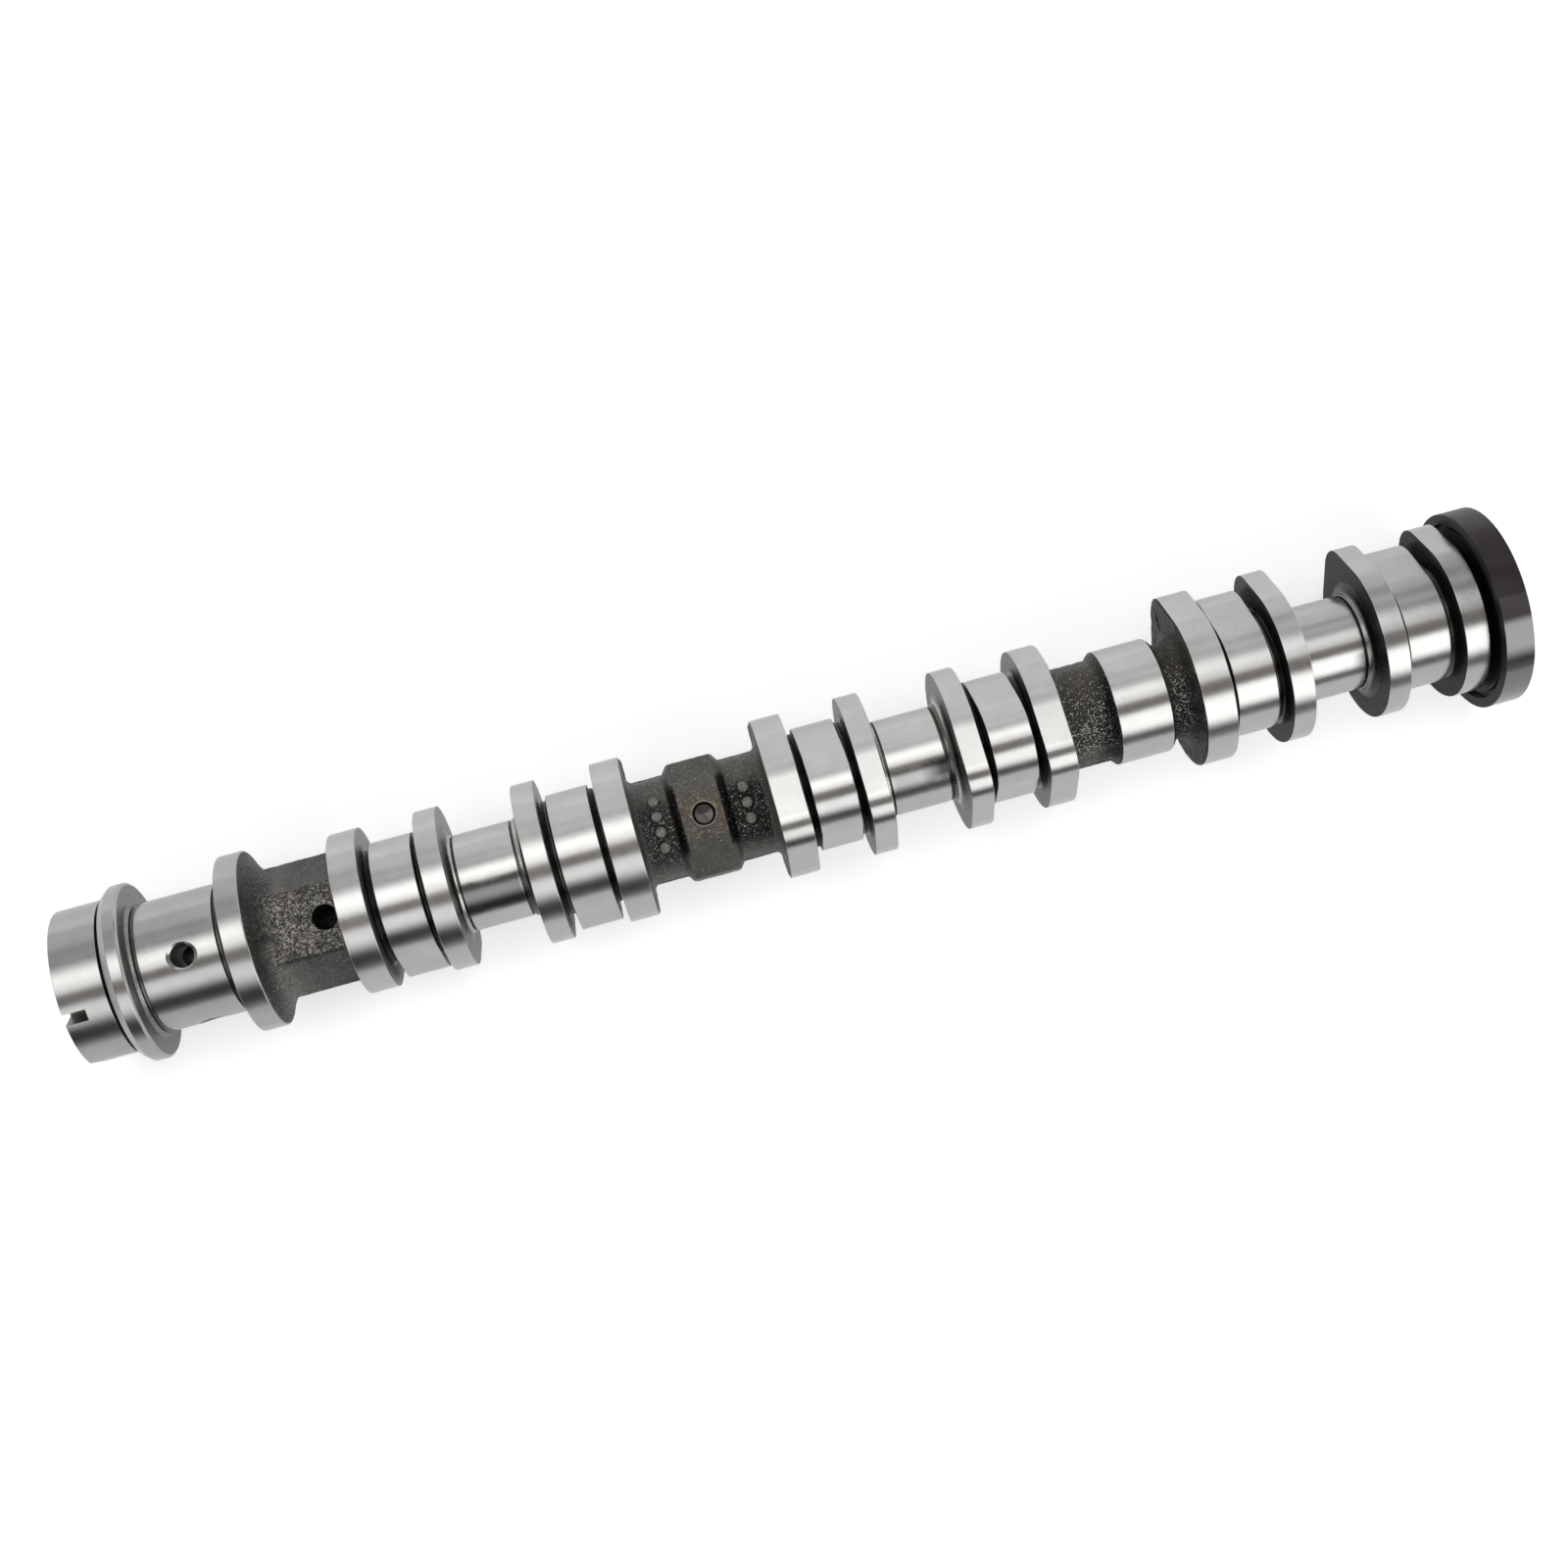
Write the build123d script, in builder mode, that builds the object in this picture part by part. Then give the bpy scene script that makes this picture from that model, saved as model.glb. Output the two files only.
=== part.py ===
from build123d import *
import os
from math import cos, radians, sin

# Camshaft for one bank of three cylinders with two valves each. Every valve has three lobes: a pair
# of side lobes and a centre lobe between them. The shaft, its lobes, thrust flanges and bearings are
# one chilled-iron casting, turned and ground. A timing ring sits round the flange at the far end.
# Millimetres, origin on the axis at the nose face, +X along the shaft to the timing ring, +Z up.
# An angle is measured about +X from +Z towards -Y.

# Nose, which carries the cam phaser
nose_radius = 19.33
nose_length = 11.2
nose_edge = 0.4
nose_flat_depth = 0.9
nose_slot_angle = 23.4
nose_slot_width = 2.9
nose_slot_length = 5.6
nose_slot_depth = 6.0
nose_groove_depth = 1.83
nose_groove_width = 1.1

# Thrust flanges on both sides of the first bearing
thrust_flange_radius = 21.9
front_flange_width = 5.1
front_flange_chamfer = 1.45
front_flange_chamfer_width = 1.75
front_flange_bevel = 0.65
rear_flange_width = 5.0
rear_flange_edge = 0.35
undercut_depth = 0.6
front_undercut_width = 1.7
rear_undercut_width = 2.5

# First bearing and its oil ways
first_journal_radius = 16.0
first_journal_length = 19.1
oil_hole_radius = 2.9
oil_hole_mouth = 0.5
oil_hole_offset = 0.88
phaser_bolt_radius = 5.4
phaser_bolt_depth = 24.0
phaser_bolt_countersink = 0.8
gallery_radius = 4.0
gallery_run_out = 4.0

# Cast hexagon behind the rear flange
hexagon_flats = 28.3
hexagon_corner = 1.2
hexagon_length = 21.6
cone_rim_width = 0.7
cone_length = 5.9
vent_radius = 3.1
vent_setback = 3.6

# Bearings between the lobes of each pair of valves
journal_radius = 12.0
journal_front_length = 7.45
journal_rear_length = 6.81
journal_edge = 0.3
journal_pitch = 106.0
cylinders = 3
fillet_groove_depth = 0.4

# Lobes, counted outwards from the bearing's middle
inner_lobe_face = 9.3
inner_lobe_width = 5.6
centre_lobe_face = 16.84
centre_lobe_width = 10.3
end_lobe_face = 29.06
end_lobe_widths = [(7.24, 7.41), (7.61, 7.13), (8.03, 6.2)]
neck_depth = 0.96

# Lobe profiles: a base circle and a tip circle joined by straight flanks
side_base_radius = 19.97
side_lift = 3.22
side_tip_radius = 8.5
centre_base_radius = 15.46
centre_lift = 5.34
centre_tip_radius = 11.4
first_nose_angle = 150.0
firing_step = 120.0
centre_lobe_lag = 18.1

# Rough-cast shaft and its octagonal band between the first two groups
cast_shaft_radius = 12.55
band_flats = 29.0
band_corner = 1.0
band_length = 10.3
band_slope = 2.0
band_offset = -0.4
dimple_radius = 2.8
dimple_wall = 0.8
dimple_point = 1.5

# Ground boss between the last two groups
boss_radius = 14.42
boss_length = 13.94
boss_chamfer = 0.9
boss_flare = 1.75
boss_gap = 5.4

# End flange and timing ring
end_gap = 2.05
ring_seat_radius = 22.4
ring_seat_lip = 1.3
ring_seat_step = 1.0
ring_clearance = 0.01
ring_wall = 2.49
ring_width = 7.07
ring_overhang = 0.6
ring_edge = 0.3

# Radii that follow from the sizes above
nose_groove_radius = nose_radius - nose_groove_depth
fillet_groove_radius = journal_radius - fillet_groove_depth
neck_radius = centre_base_radius - neck_depth
band_section_radius = band_flats / 2 / cos(radians(22.5))
ring_bore_radius = ring_seat_radius + ring_clearance
ring_radius = ring_bore_radius + ring_wall

# Stations along the axis
front_flange_start = nose_length + nose_groove_width
front_flange_end = front_flange_start + front_flange_width
first_journal_start = front_flange_end + front_undercut_width
first_journal_end = first_journal_start + first_journal_length
rear_flange_start = first_journal_end + rear_undercut_width
rear_flange_end = rear_flange_start + rear_flange_width
hexagon_end = rear_flange_end + hexagon_length
first_bearing = hexagon_end + end_lobe_widths[0][0] + end_lobe_face
bearings = [first_bearing + index * journal_pitch for index in range(cylinders)]
group_starts = [x - end_lobe_face - widths[0] for x, widths in zip(bearings, end_lobe_widths)]
group_ends = [x + end_lobe_face + widths[1] for x, widths in zip(bearings, end_lobe_widths)]
oil_hole_x = (first_journal_start + first_journal_end) / 2 + oil_hole_offset
vent_x = hexagon_end - vent_setback
gallery_end = vent_x + gallery_run_out
dimple_x = (bearings[0] + bearings[1]) / 2
band_x = dimple_x + band_offset
boss_end = group_starts[2] - boss_gap
boss_start = boss_end - boss_length
end_flange_start = group_ends[-1] + end_gap
ring_start = end_flange_start - ring_overhang
shaft_end = ring_start + ring_width


def turned_step(start, end, radius):
    with BuildPart() as step:
        with BuildSketch(Plane.YZ.offset(start)):
            Circle(radius)
        extrude(amount=end - start)
    return step.part


def cam_lobe(start, width, base_radius, lift, tip_radius, angle):
    tip_distance = base_radius + lift - tip_radius
    tip_y = -tip_distance * sin(radians(angle))
    tip_z = tip_distance * cos(radians(angle))
    with BuildPart() as lobe:
        with BuildSketch(Plane.YZ.offset(start)):
            Circle(base_radius)
            with Locations((tip_y, tip_z)):
                Circle(tip_radius)
            make_hull()
        extrude(amount=width)
    return lobe.part


# The turned front end: nose, groove, front thrust flange, first bearing, rear flange and its cast cone
with BuildPart() as front_end:
    with BuildSketch(Plane.XY):
        with BuildLine():
            Polyline(
                (0, 0),
                (0, nose_radius - nose_edge),
                (nose_edge, nose_radius),
                (nose_length, nose_radius),
                (nose_length, nose_groove_radius),
                (front_flange_start, nose_groove_radius),
                (front_flange_start, thrust_flange_radius - front_flange_chamfer),
                (front_flange_start + front_flange_chamfer_width, thrust_flange_radius),
                (front_flange_end - front_flange_bevel, thrust_flange_radius),
                (front_flange_end, thrust_flange_radius - front_flange_bevel),
                (front_flange_end, first_journal_radius + undercut_depth),
                (front_flange_end + undercut_depth * 2, first_journal_radius - undercut_depth),
                (first_journal_start, first_journal_radius - undercut_depth),
                (first_journal_start, first_journal_radius),
                (first_journal_end, first_journal_radius),
                (first_journal_end, first_journal_radius - undercut_depth),
                (rear_flange_start, first_journal_radius - undercut_depth),
                (rear_flange_start, thrust_flange_radius - rear_flange_edge),
                (rear_flange_start + rear_flange_edge, thrust_flange_radius),
                (rear_flange_end + cone_rim_width, thrust_flange_radius),
                (rear_flange_end + cone_length, hexagon_flats / 2),
                (rear_flange_end + cone_length, 0),
                close=True,
            )
        make_face()
    revolve(axis=Axis.X)
    # Flat along the nose
    with BuildSketch(Plane.YZ):
        with Locations((nose_flat_depth - nose_radius, 0)):
            Rectangle(nose_radius, 2 * nose_radius, align=(Align.MAX, Align.CENTER))
    extrude(amount=nose_length, mode=Mode.SUBTRACT)
    # Locating slot, open at the nose face
    with BuildSketch(Plane.YZ):
        with Locations(Location((0, 0), nose_slot_angle)):
            with Locations((0, nose_radius - nose_slot_depth)):
                Rectangle(nose_slot_width, 2 * nose_slot_depth, align=(Align.CENTER, Align.MIN))
    extrude(amount=nose_slot_length, mode=Mode.SUBTRACT)

# Cast hexagon with one flat on +Z, run into the first lobe
with BuildPart() as hexagon:
    with BuildSketch(Plane.YZ.offset(rear_flange_end)) as hexagon_section:
        RegularPolygon(hexagon_flats / 2, side_count=6, major_radius=False)
        fillet(hexagon_section.vertices(), hexagon_corner)
    extrude(amount=hexagon_length)

# Cast octagonal band with one flat on +Z, sloped down to the shaft at both ends
with BuildPart() as band:
    with BuildSketch(Plane.YZ.offset(band_x - band_length / 2 - band_slope)) as band_section:
        RegularPolygon(band_flats / 2, side_count=8, major_radius=False, rotation=22.5)
        fillet(band_section.vertices(), band_corner)
    extrude(amount=band_length + 2 * band_slope)
    with BuildSketch(Plane.XY):
        with BuildLine():
            Polyline(
                (band_x - band_length / 2 - band_slope, 0),
                (band_x - band_length / 2 - band_slope, cast_shaft_radius),
                (band_x - band_length / 2, band_section_radius),
                (band_x + band_length / 2, band_section_radius),
                (band_x + band_length / 2 + band_slope, cast_shaft_radius),
                (band_x + band_length / 2 + band_slope, 0),
                close=True,
            )
        make_face()
    revolve(axis=Axis.X, mode=Mode.INTERSECT)

# Rough-cast shaft flaring up to the ground boss, and the neck to the last group
with BuildPart() as boss:
    with BuildSketch(Plane.XY):
        with BuildLine():
            Polyline(
                (group_ends[1], 0),
                (group_ends[1], cast_shaft_radius),
                (boss_start - boss_flare, cast_shaft_radius),
                (boss_start, boss_radius),
                (boss_end - boss_chamfer, boss_radius),
                (boss_end, boss_radius - boss_chamfer),
                (boss_end, cast_shaft_radius),
                (group_starts[2], cast_shaft_radius),
                (group_starts[2], 0),
                close=True,
            )
        make_face()
    revolve(axis=Axis.X)

# Flange behind the last lobe, with a stepped rim that the timing ring seats on
with BuildPart() as end_flange:
    with BuildSketch(Plane.XY):
        with BuildLine():
            Polyline(
                (group_ends[-1], 0),
                (group_ends[-1], neck_radius),
                (end_flange_start, neck_radius),
                (end_flange_start, ring_seat_radius - ring_seat_lip),
                (end_flange_start + ring_seat_step, ring_seat_radius - ring_seat_lip),
                (end_flange_start + ring_seat_step, ring_seat_radius),
                (shaft_end, ring_seat_radius),
                (shaft_end, 0),
                close=True,
            )
        make_face()
    revolve(axis=Axis.X)

# Bearing, necks and lobes of every group
groups = []
for index in range(cylinders):
    bearing = bearings[index]
    side_angle = first_nose_angle - index * firing_step
    centre_angle = side_angle - centre_lobe_lag
    groups.append(turned_step(bearing - inner_lobe_face, bearing + inner_lobe_face, fillet_groove_radius))
    journal = turned_step(bearing - journal_front_length, bearing + journal_rear_length, journal_radius)
    groups.append(chamfer(journal.edges().filter_by(GeomType.CIRCLE), journal_edge))
    for side, end_lobe_width in zip((-1, 1), end_lobe_widths[index]):
        inner_face = bearing + side * inner_lobe_face
        centre_face = bearing + side * centre_lobe_face
        end_face = bearing + side * end_lobe_face
        groups.append(turned_step(inner_face, end_face, neck_radius))
        for face, width, base_radius, lift, tip_radius, angle in (
            (inner_face, inner_lobe_width, side_base_radius, side_lift, side_tip_radius, side_angle),
            (centre_face, centre_lobe_width, centre_base_radius, centre_lift, centre_tip_radius, centre_angle),
            (end_face, end_lobe_width, side_base_radius, side_lift, side_tip_radius, side_angle),
        ):
            groups.append(cam_lobe(face, side * width, base_radius, lift, tip_radius, angle))

with BuildPart() as camshaft:
    add(front_end.part)
    add(hexagon.part)
    add(groups)
    add(turned_step(group_ends[0], group_starts[1], cast_shaft_radius))
    add(band.part)
    add(boss.part)
    add(end_flange.part)
    # Oil ways: phaser bolt hole, gallery on the axis, two holes in the first bearing and a vent
    with Locations(Plane(origin=(0, 0, 0), z_dir=(-1, 0, 0))):
        CounterSinkHole(
            phaser_bolt_radius,
            phaser_bolt_radius + phaser_bolt_countersink,
            depth=phaser_bolt_depth,
            counter_sink_angle=90,
        )
    with BuildSketch(Plane.YZ.offset(phaser_bolt_depth)):
        Circle(gallery_radius)
    extrude(amount=gallery_end - phaser_bolt_depth, mode=Mode.SUBTRACT)
    with Locations(
        Plane(origin=(oil_hole_x, 0, first_journal_radius), z_dir=(0, 0, 1)),
        Plane(origin=(oil_hole_x, -first_journal_radius, 0), z_dir=(0, -1, 0)),
    ):
        CounterSinkHole(
            oil_hole_radius,
            oil_hole_radius + oil_hole_mouth,
            depth=first_journal_radius,
            counter_sink_angle=90,
        )
    with Locations(Plane(origin=(vent_x, 0, hexagon_flats / 2), z_dir=(0, 0, 1))):
        Hole(vent_radius, depth=hexagon_flats / 2)
    # Spot drilled in the band
    with BuildSketch(Plane.XY.offset(band_flats / 2)):
        with Locations((dimple_x, 0)):
            Circle(dimple_radius)
    extrude(amount=-dimple_wall, mode=Mode.SUBTRACT)
    with Locations((dimple_x, 0, band_flats / 2 - dimple_wall)):
        Cone(
            0,
            dimple_radius,
            dimple_point,
            align=(Align.CENTER, Align.CENTER, Align.MAX),
            mode=Mode.SUBTRACT,
        )

with BuildPart() as timing_ring:
    with BuildSketch(Plane.YZ.offset(ring_start)):
        Circle(ring_radius)
        Circle(ring_bore_radius, mode=Mode.SUBTRACT)
    extrude(amount=ring_width)
    rims = timing_ring.edges().filter_by(GeomType.CIRCLE).sort_by(SortBy.RADIUS)[-2:]
    chamfer(rims, ring_edge)

os.makedirs("parts", exist_ok=True)
camshaft.part.label = "camshaft"
export_step(camshaft.part, "parts/camshaft.step")
timing_ring.part.label = "timing_ring"
export_step(timing_ring.part, "parts/timing_ring.step")
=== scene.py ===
import bpy
from math import cos, hypot, pi, radians, sin
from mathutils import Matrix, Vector


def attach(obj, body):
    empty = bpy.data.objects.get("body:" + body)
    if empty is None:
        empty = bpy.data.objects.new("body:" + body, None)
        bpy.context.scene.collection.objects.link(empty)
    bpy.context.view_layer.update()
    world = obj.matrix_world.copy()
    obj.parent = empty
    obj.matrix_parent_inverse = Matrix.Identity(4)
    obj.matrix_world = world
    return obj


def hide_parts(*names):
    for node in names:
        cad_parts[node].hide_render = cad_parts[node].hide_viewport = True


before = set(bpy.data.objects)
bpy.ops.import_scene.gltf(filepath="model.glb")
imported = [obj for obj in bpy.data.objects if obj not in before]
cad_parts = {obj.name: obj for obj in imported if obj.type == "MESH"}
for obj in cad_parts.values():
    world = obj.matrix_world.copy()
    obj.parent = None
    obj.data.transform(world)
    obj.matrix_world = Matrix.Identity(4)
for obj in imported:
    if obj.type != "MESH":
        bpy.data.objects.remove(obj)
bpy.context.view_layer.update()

# Sizes are in millimetres in the dictionaries and made metres by mm. The shaft lies along X, nose at 0.
# An angle round the shaft is measured from +Z towards -Y.
mm = 0.001
alongShaft = (0, pi / 2, 0)  # turns a primitive's own axis onto the shaft's


# Small helpers for objects.

def deselectAll():
    if bpy.context.mode != "OBJECT":
        bpy.ops.object.mode_set(mode="OBJECT")
    bpy.ops.object.select_all(action="DESELECT")


def pick(piece):
    deselectAll()
    piece.select_set(True)
    bpy.context.view_layer.objects.active = piece


def settle(piece, name):
    piece.name = piece.data.name = name
    pick(piece)
    bpy.ops.object.transform_apply(location=True, rotation=True, scale=True)
    return piece


def faceOutwards(piece):
    pick(piece)
    bpy.ops.object.mode_set(mode="EDIT")
    bpy.ops.mesh.select_all(action="SELECT")
    bpy.ops.mesh.remove_doubles(threshold=1e-7)
    bpy.ops.mesh.normals_make_consistent(inside=False)
    bpy.ops.object.mode_set(mode="OBJECT")


def useModifier(piece, kind, **settings):
    pick(piece)
    modifier = piece.modifiers.new(kind.title(), kind)
    for key, value in settings.items():
        setattr(modifier, key, value)
    bpy.ops.object.modifier_apply(modifier=modifier.name)


def roundEdges(piece, width, angle=25, steps=2):
    useModifier(piece, "BEVEL", width=width * mm, segments=steps, limit_method="ANGLE",
                angle_limit=radians(angle), use_clamp_overlap=True)


def twin(piece, name):
    copy = piece.copy()
    copy.data = piece.data.copy()
    copy.name = copy.data.name = name
    bpy.context.collection.objects.link(copy)
    return copy


def combine(piece, tool, operation="DIFFERENCE"):  # cuts or adds the tool, and throws it away
    useModifier(piece, "BOOLEAN", object=tool, operation=operation, solver="MANIFOLD")
    bpy.data.objects.remove(tool)


def joined(pieces, name):
    pick(pieces[0])
    for piece in pieces[1:]:
        piece.select_set(True)
    bpy.ops.object.join()
    pieces[0].name = pieces[0].data.name = name
    return pieces[0]


def smoothTurned(piece, angle=20):  # end faces stay flat, so that no turned wall's shading runs into them
    pick(piece)
    bpy.ops.object.shade_smooth_by_angle(angle=radians(angle))
    for face in piece.data.polygons:
        if abs(face.normal.x) > 0.999:
            face.use_smooth = False
    useModifier(piece, "WEIGHTED_NORMAL", keep_sharp=True, weight=50)


def rod(name, radius, length, at, towards=(1, 0, 0), sides=64, endRadius=None):
    deselectAll()
    turn = Vector((0, 0, 1)).rotation_difference(Vector(towards)).to_euler()
    middle = (Vector(at) + Vector(towards).normalized() * length / 2) * mm
    bpy.ops.mesh.primitive_cone_add(vertices=sides, radius1=radius * mm,
                                    radius2=(radius if endRadius is None else endRadius) * mm,
                                    depth=length * mm, location=middle, rotation=turn)
    return settle(bpy.context.object, name)


def block(name, size, at, turn=(0, 0, 0)):
    deselectAll()
    bpy.ops.mesh.primitive_cube_add(size=1, location=Vector(at) * mm, rotation=turn)
    bpy.context.object.scale = Vector(size) * mm
    return settle(bpy.context.object, name)


def prism(name, sides, flats, length, x):  # as wide over its flats as flats, and one of them on top
    deselectAll()
    bpy.ops.mesh.primitive_cylinder_add(vertices=sides, radius=flats / 2 / cos(pi / sides) * mm,
                                        depth=length * mm, location=(x * mm, 0, 0), rotation=alongShaft)
    piece = settle(bpy.context.object, name)
    top = max(vertex.co.z for vertex in piece.data.vertices)
    if abs(top / mm - flats / 2) > 0.1:  # a corner is on top
        piece.rotation_euler.x = pi / sides
        settle(piece, name)
    return piece


def hollowCurve(x, radius, endX, endRadius, steps=6):  # a fillet, level at its start and upright at its end
    turns = [pi / 2 * step / steps for step in range(steps + 1)]
    return [(x + (endX - x) * sin(turn), radius + (endRadius - radius) * (1 - cos(turn))) for turn in turns]


def turned(name, stations, sides=240):  # a turned shape from (place along the shaft, radius) stations
    deselectAll()
    x, radius = stations[0]
    bpy.ops.mesh.primitive_circle_add(vertices=sides, radius=radius * mm, fill_type="NGON",
                                      location=(x * mm, 0, 0), rotation=alongShaft)
    piece = settle(bpy.context.object, name)
    bpy.ops.object.mode_set(mode="EDIT")
    bpy.ops.mesh.select_all(action="SELECT")
    for nextX, nextRadius in stations[1:]:
        bpy.ops.mesh.extrude_region_move(TRANSFORM_OT_translate={"value": ((nextX - x) * mm, 0, 0)})
        grow = nextRadius / radius
        bpy.ops.transform.resize(value=(1, grow, grow), center_override=(nextX * mm, 0, 0))
        x, radius = nextX, nextRadius
    faceOutwards(piece)
    return piece


# Shader helpers.

class Wire:  # one output of a node, which adds, takes away, multiplies and divides as numbers do
    def __init__(self, finish, socket):
        self.finish, self.socket = finish, socket

    def work(self, operation, first, second, **settings):
        return self.finish.put("ShaderNodeMath", {0: first, 1: second}, operation=operation, **settings)

    def __add__(self, other): return self.work("ADD", self, other)
    def __radd__(self, other): return self.work("ADD", other, self)
    def __sub__(self, other): return self.work("SUBTRACT", self, other)
    def __rsub__(self, other): return self.work("SUBTRACT", other, self)
    def __mul__(self, other): return self.work("MULTIPLY", self, other)
    def __rmul__(self, other): return self.work("MULTIPLY", other, self)
    def __truediv__(self, other): return self.work("DIVIDE", self, other)
    def __pow__(self, other): return self.work("POWER", self, other)
    def __abs__(self): return (self * self) ** 0.5

    def toOne(self, other):  # the sum, held between 0 and 1
        return self.work("ADD", self, other, use_clamp=True)


class Finish:  # the nodes of a material, a lamp or the world
    def __init__(self, owner, endKind="ShaderNodeOutputMaterial"):
        owner.use_nodes = True
        self.owner, self.tree = owner, owner.node_tree
        self.tree.nodes.clear()
        self.output = self.tree.nodes.new(endKind)

    def put(self, kind, inputs=None, out=0, stops=None, **settings):
        node = self.tree.nodes.new(kind)
        for key, value in settings.items():
            setattr(node, key, value)
        if stops:
            ramp = node.color_ramp
            while len(ramp.elements) < len(stops):
                ramp.elements.new(0.5)
            for element, (place, shade) in zip(ramp.elements, stops):
                element.position = place
                element.color = (shade, shade, shade, 1)
        for key, value in (inputs or {}).items():
            if isinstance(value, Wire):
                self.tree.links.new(value.socket, node.inputs[key])
            else:
                node.inputs[key].default_value = value
        return Wire(self, node.outputs[out])

    def blend(self, factor, first, second):
        first, second = ((*c, 1) if isinstance(c, tuple) else c for c in (first, second))
        return self.put("ShaderNodeMix", {0: factor, 6: first, 7: second}, out=2, data_type="RGBA")

    def shaded(self, colour, shine):
        return self.put("ShaderNodeVectorMath", {0: colour, 1: self.vector(shine, shine, shine)},
                        operation="MULTIPLY")

    def noise(self, vector, scale, detail=3.0, rough=0.5):
        return self.put("ShaderNodeTexNoise", {"Vector": vector, "Scale": scale, "Detail": detail,
                                               "Roughness": rough})

    def cells(self, vector, scale):
        return self.put("ShaderNodeTexVoronoi", {"Vector": vector, "Scale": scale})

    def ramp(self, value, low, high, start=0.0, end=1.0, smooth=False):  # held at both ends
        return self.put("ShaderNodeMapRange", {0: value, 1: low, 2: high, 3: start, 4: end}, clamp=True,
                        interpolation_type="SMOOTHSTEP" if smooth else "LINEAR")

    def between(self, value, riseStart, riseEnd, fallStart, fallEnd):
        return self.ramp(value, riseStart, riseEnd) * self.ramp(value, fallEnd, fallStart)

    def table(self, value, pairs):  # pairs of (value, level) in rising order, joined by straight lines
        low, high = pairs[0][0], pairs[-1][0]
        top = max(level for place, level in pairs)
        curve = self.put("ShaderNodeValToRGB", {0: self.ramp(value, low, high)},
                         stops=[((place - low) / (high - low), level / top) for place, level in pairs])
        return curve * top

    def parts(self, vector):
        return [self.put("ShaderNodeSeparateXYZ", {0: vector}, out=i) for i in range(3)]

    def place(self):  # where the point is, in mm: the whole vector, its parts, and its radius from the axis
        metres = self.put("ShaderNodeTexCoord", out=3)
        at = self.put("ShaderNodeVectorMath", {0: metres, 1: (1 / mm, 1 / mm, 1 / mm)}, operation="MULTIPLY")
        x, y, z = self.parts(at)
        return at, x, y, z, (y * y + z * z) ** 0.5

    def lean(self, y, z):  # the angle from straight up, in degrees, positive towards +Y
        return self.put("ShaderNodeMath", {0: y, 1: z}, operation="ARCTAN2") * (180 / pi)

    def vector(self, x, y, z):
        return self.put("ShaderNodeCombineXYZ", {0: x, 1: y, 2: z})

    def bump(self, height, depth):
        return self.put("ShaderNodeBump", {"Height": height, "Distance": depth * mm, "Strength": 1.0})

    def end(self, shader):
        self.tree.links.new(shader.socket, self.output.inputs[0])
        return self.owner

    def shade(self, inputs):
        return self.end(self.put("ShaderNodeBsdfPrincipled", inputs))


def newFinish(name):
    return Finish(bpy.data.materials.new(name))


# Finishes. Colours are linear, places are in mm, and a span of four places is where the mask rises and falls.

# Patches on the lower front of the bearings where the metal is made darker: along the shaft, round it as y /
# radius, and the shine left.
darkPatches = [{"along": (95.6, 96.6, 109.6, 110.6), "round": (-0.74, -0.66, -0.16, -0.09), "left": 0.42},
          {"along": (201.5, 203.5, 217.0, 218.0), "round": (-0.66, -0.55, -0.24, -0.18), "left": 0.66},
          {"along": (209.5, 214.8, 217.5, 218.0), "round": (-0.62, -0.48, -0.24, -0.10), "left": 0.16},
          {"along": (319.0, 321.6, 322.8, 323.0), "round": (-0.70, -0.60, -0.40, -0.25), "left": 0.45}]

groundLook = {"dark": (0.445, 0.440, 0.431), "light": (0.485, 0.480, 0.470), "roughness": 0.195,
              "relief": 0.011, "noseShine": 0.86, "noseFades": (52.0, 66.0), "bearingSkin": (12.3, 12.5)}


def makeGroundIron(look):
    finish = newFinish("groundIron")
    at, x, y, z, radius = finish.place()
    across, along = y / radius, z / radius
    fine = finish.noise(finish.vector(x * 5.0, across * 9.0, along * 9.0), 1.0, 2.0)
    wave = finish.noise(finish.vector(x * 0.30, across * 3.0, along * 3.0), 1.0, 3.0)
    speckle = finish.noise(at, 2.6, 3.0, 0.65)
    blotch = finish.noise(at, 0.16, 4.0, 0.6)
    colour = finish.blend(finish.ramp(blotch, 0.35, 0.68), look["dark"], look["light"])
    specks = finish.cells(at, 0.40) + (speckle - 0.5) * 0.2
    shine = finish.ramp(x, *look["noseFades"], look["noseShine"], 1.0)
    shine = shine * finish.ramp(specks, 0.02, 0.08, 0.80, 1.0)
    ragged = across + ((blotch - 0.5) * 0.30 + (speckle - 0.5) * 0.12)
    bearings = finish.ramp(radius, *look["bearingSkin"], 1.0, 0.0)
    for darkPatch in darkPatches:
        mask = finish.between(x, *darkPatch["along"]) * finish.between(ragged, *darkPatch["round"]) * bearings
        shine = shine * (1 - mask * (1 - darkPatch["left"]))
    roughness = look["roughness"] + (fine - 0.5) * 0.06 + (wave - 0.5) * 0.04 + (blotch - 0.5) * 0.05
    return finish.shade({"Base Color": finish.shaded(colour, shine), "Metallic": 1.0, "Roughness": roughness,
                         "Normal": finish.bump(fine * 0.30 + speckle + wave, look["relief"])})


turnedLook = {"dark": (0.19, 0.19, 0.185), "light": (0.29, 0.29, 0.28), "roughness": 0.36, "relief": 0.03,
              "rearShine": 0.64, "rearStarts": (150.0, 175.0)}


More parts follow.
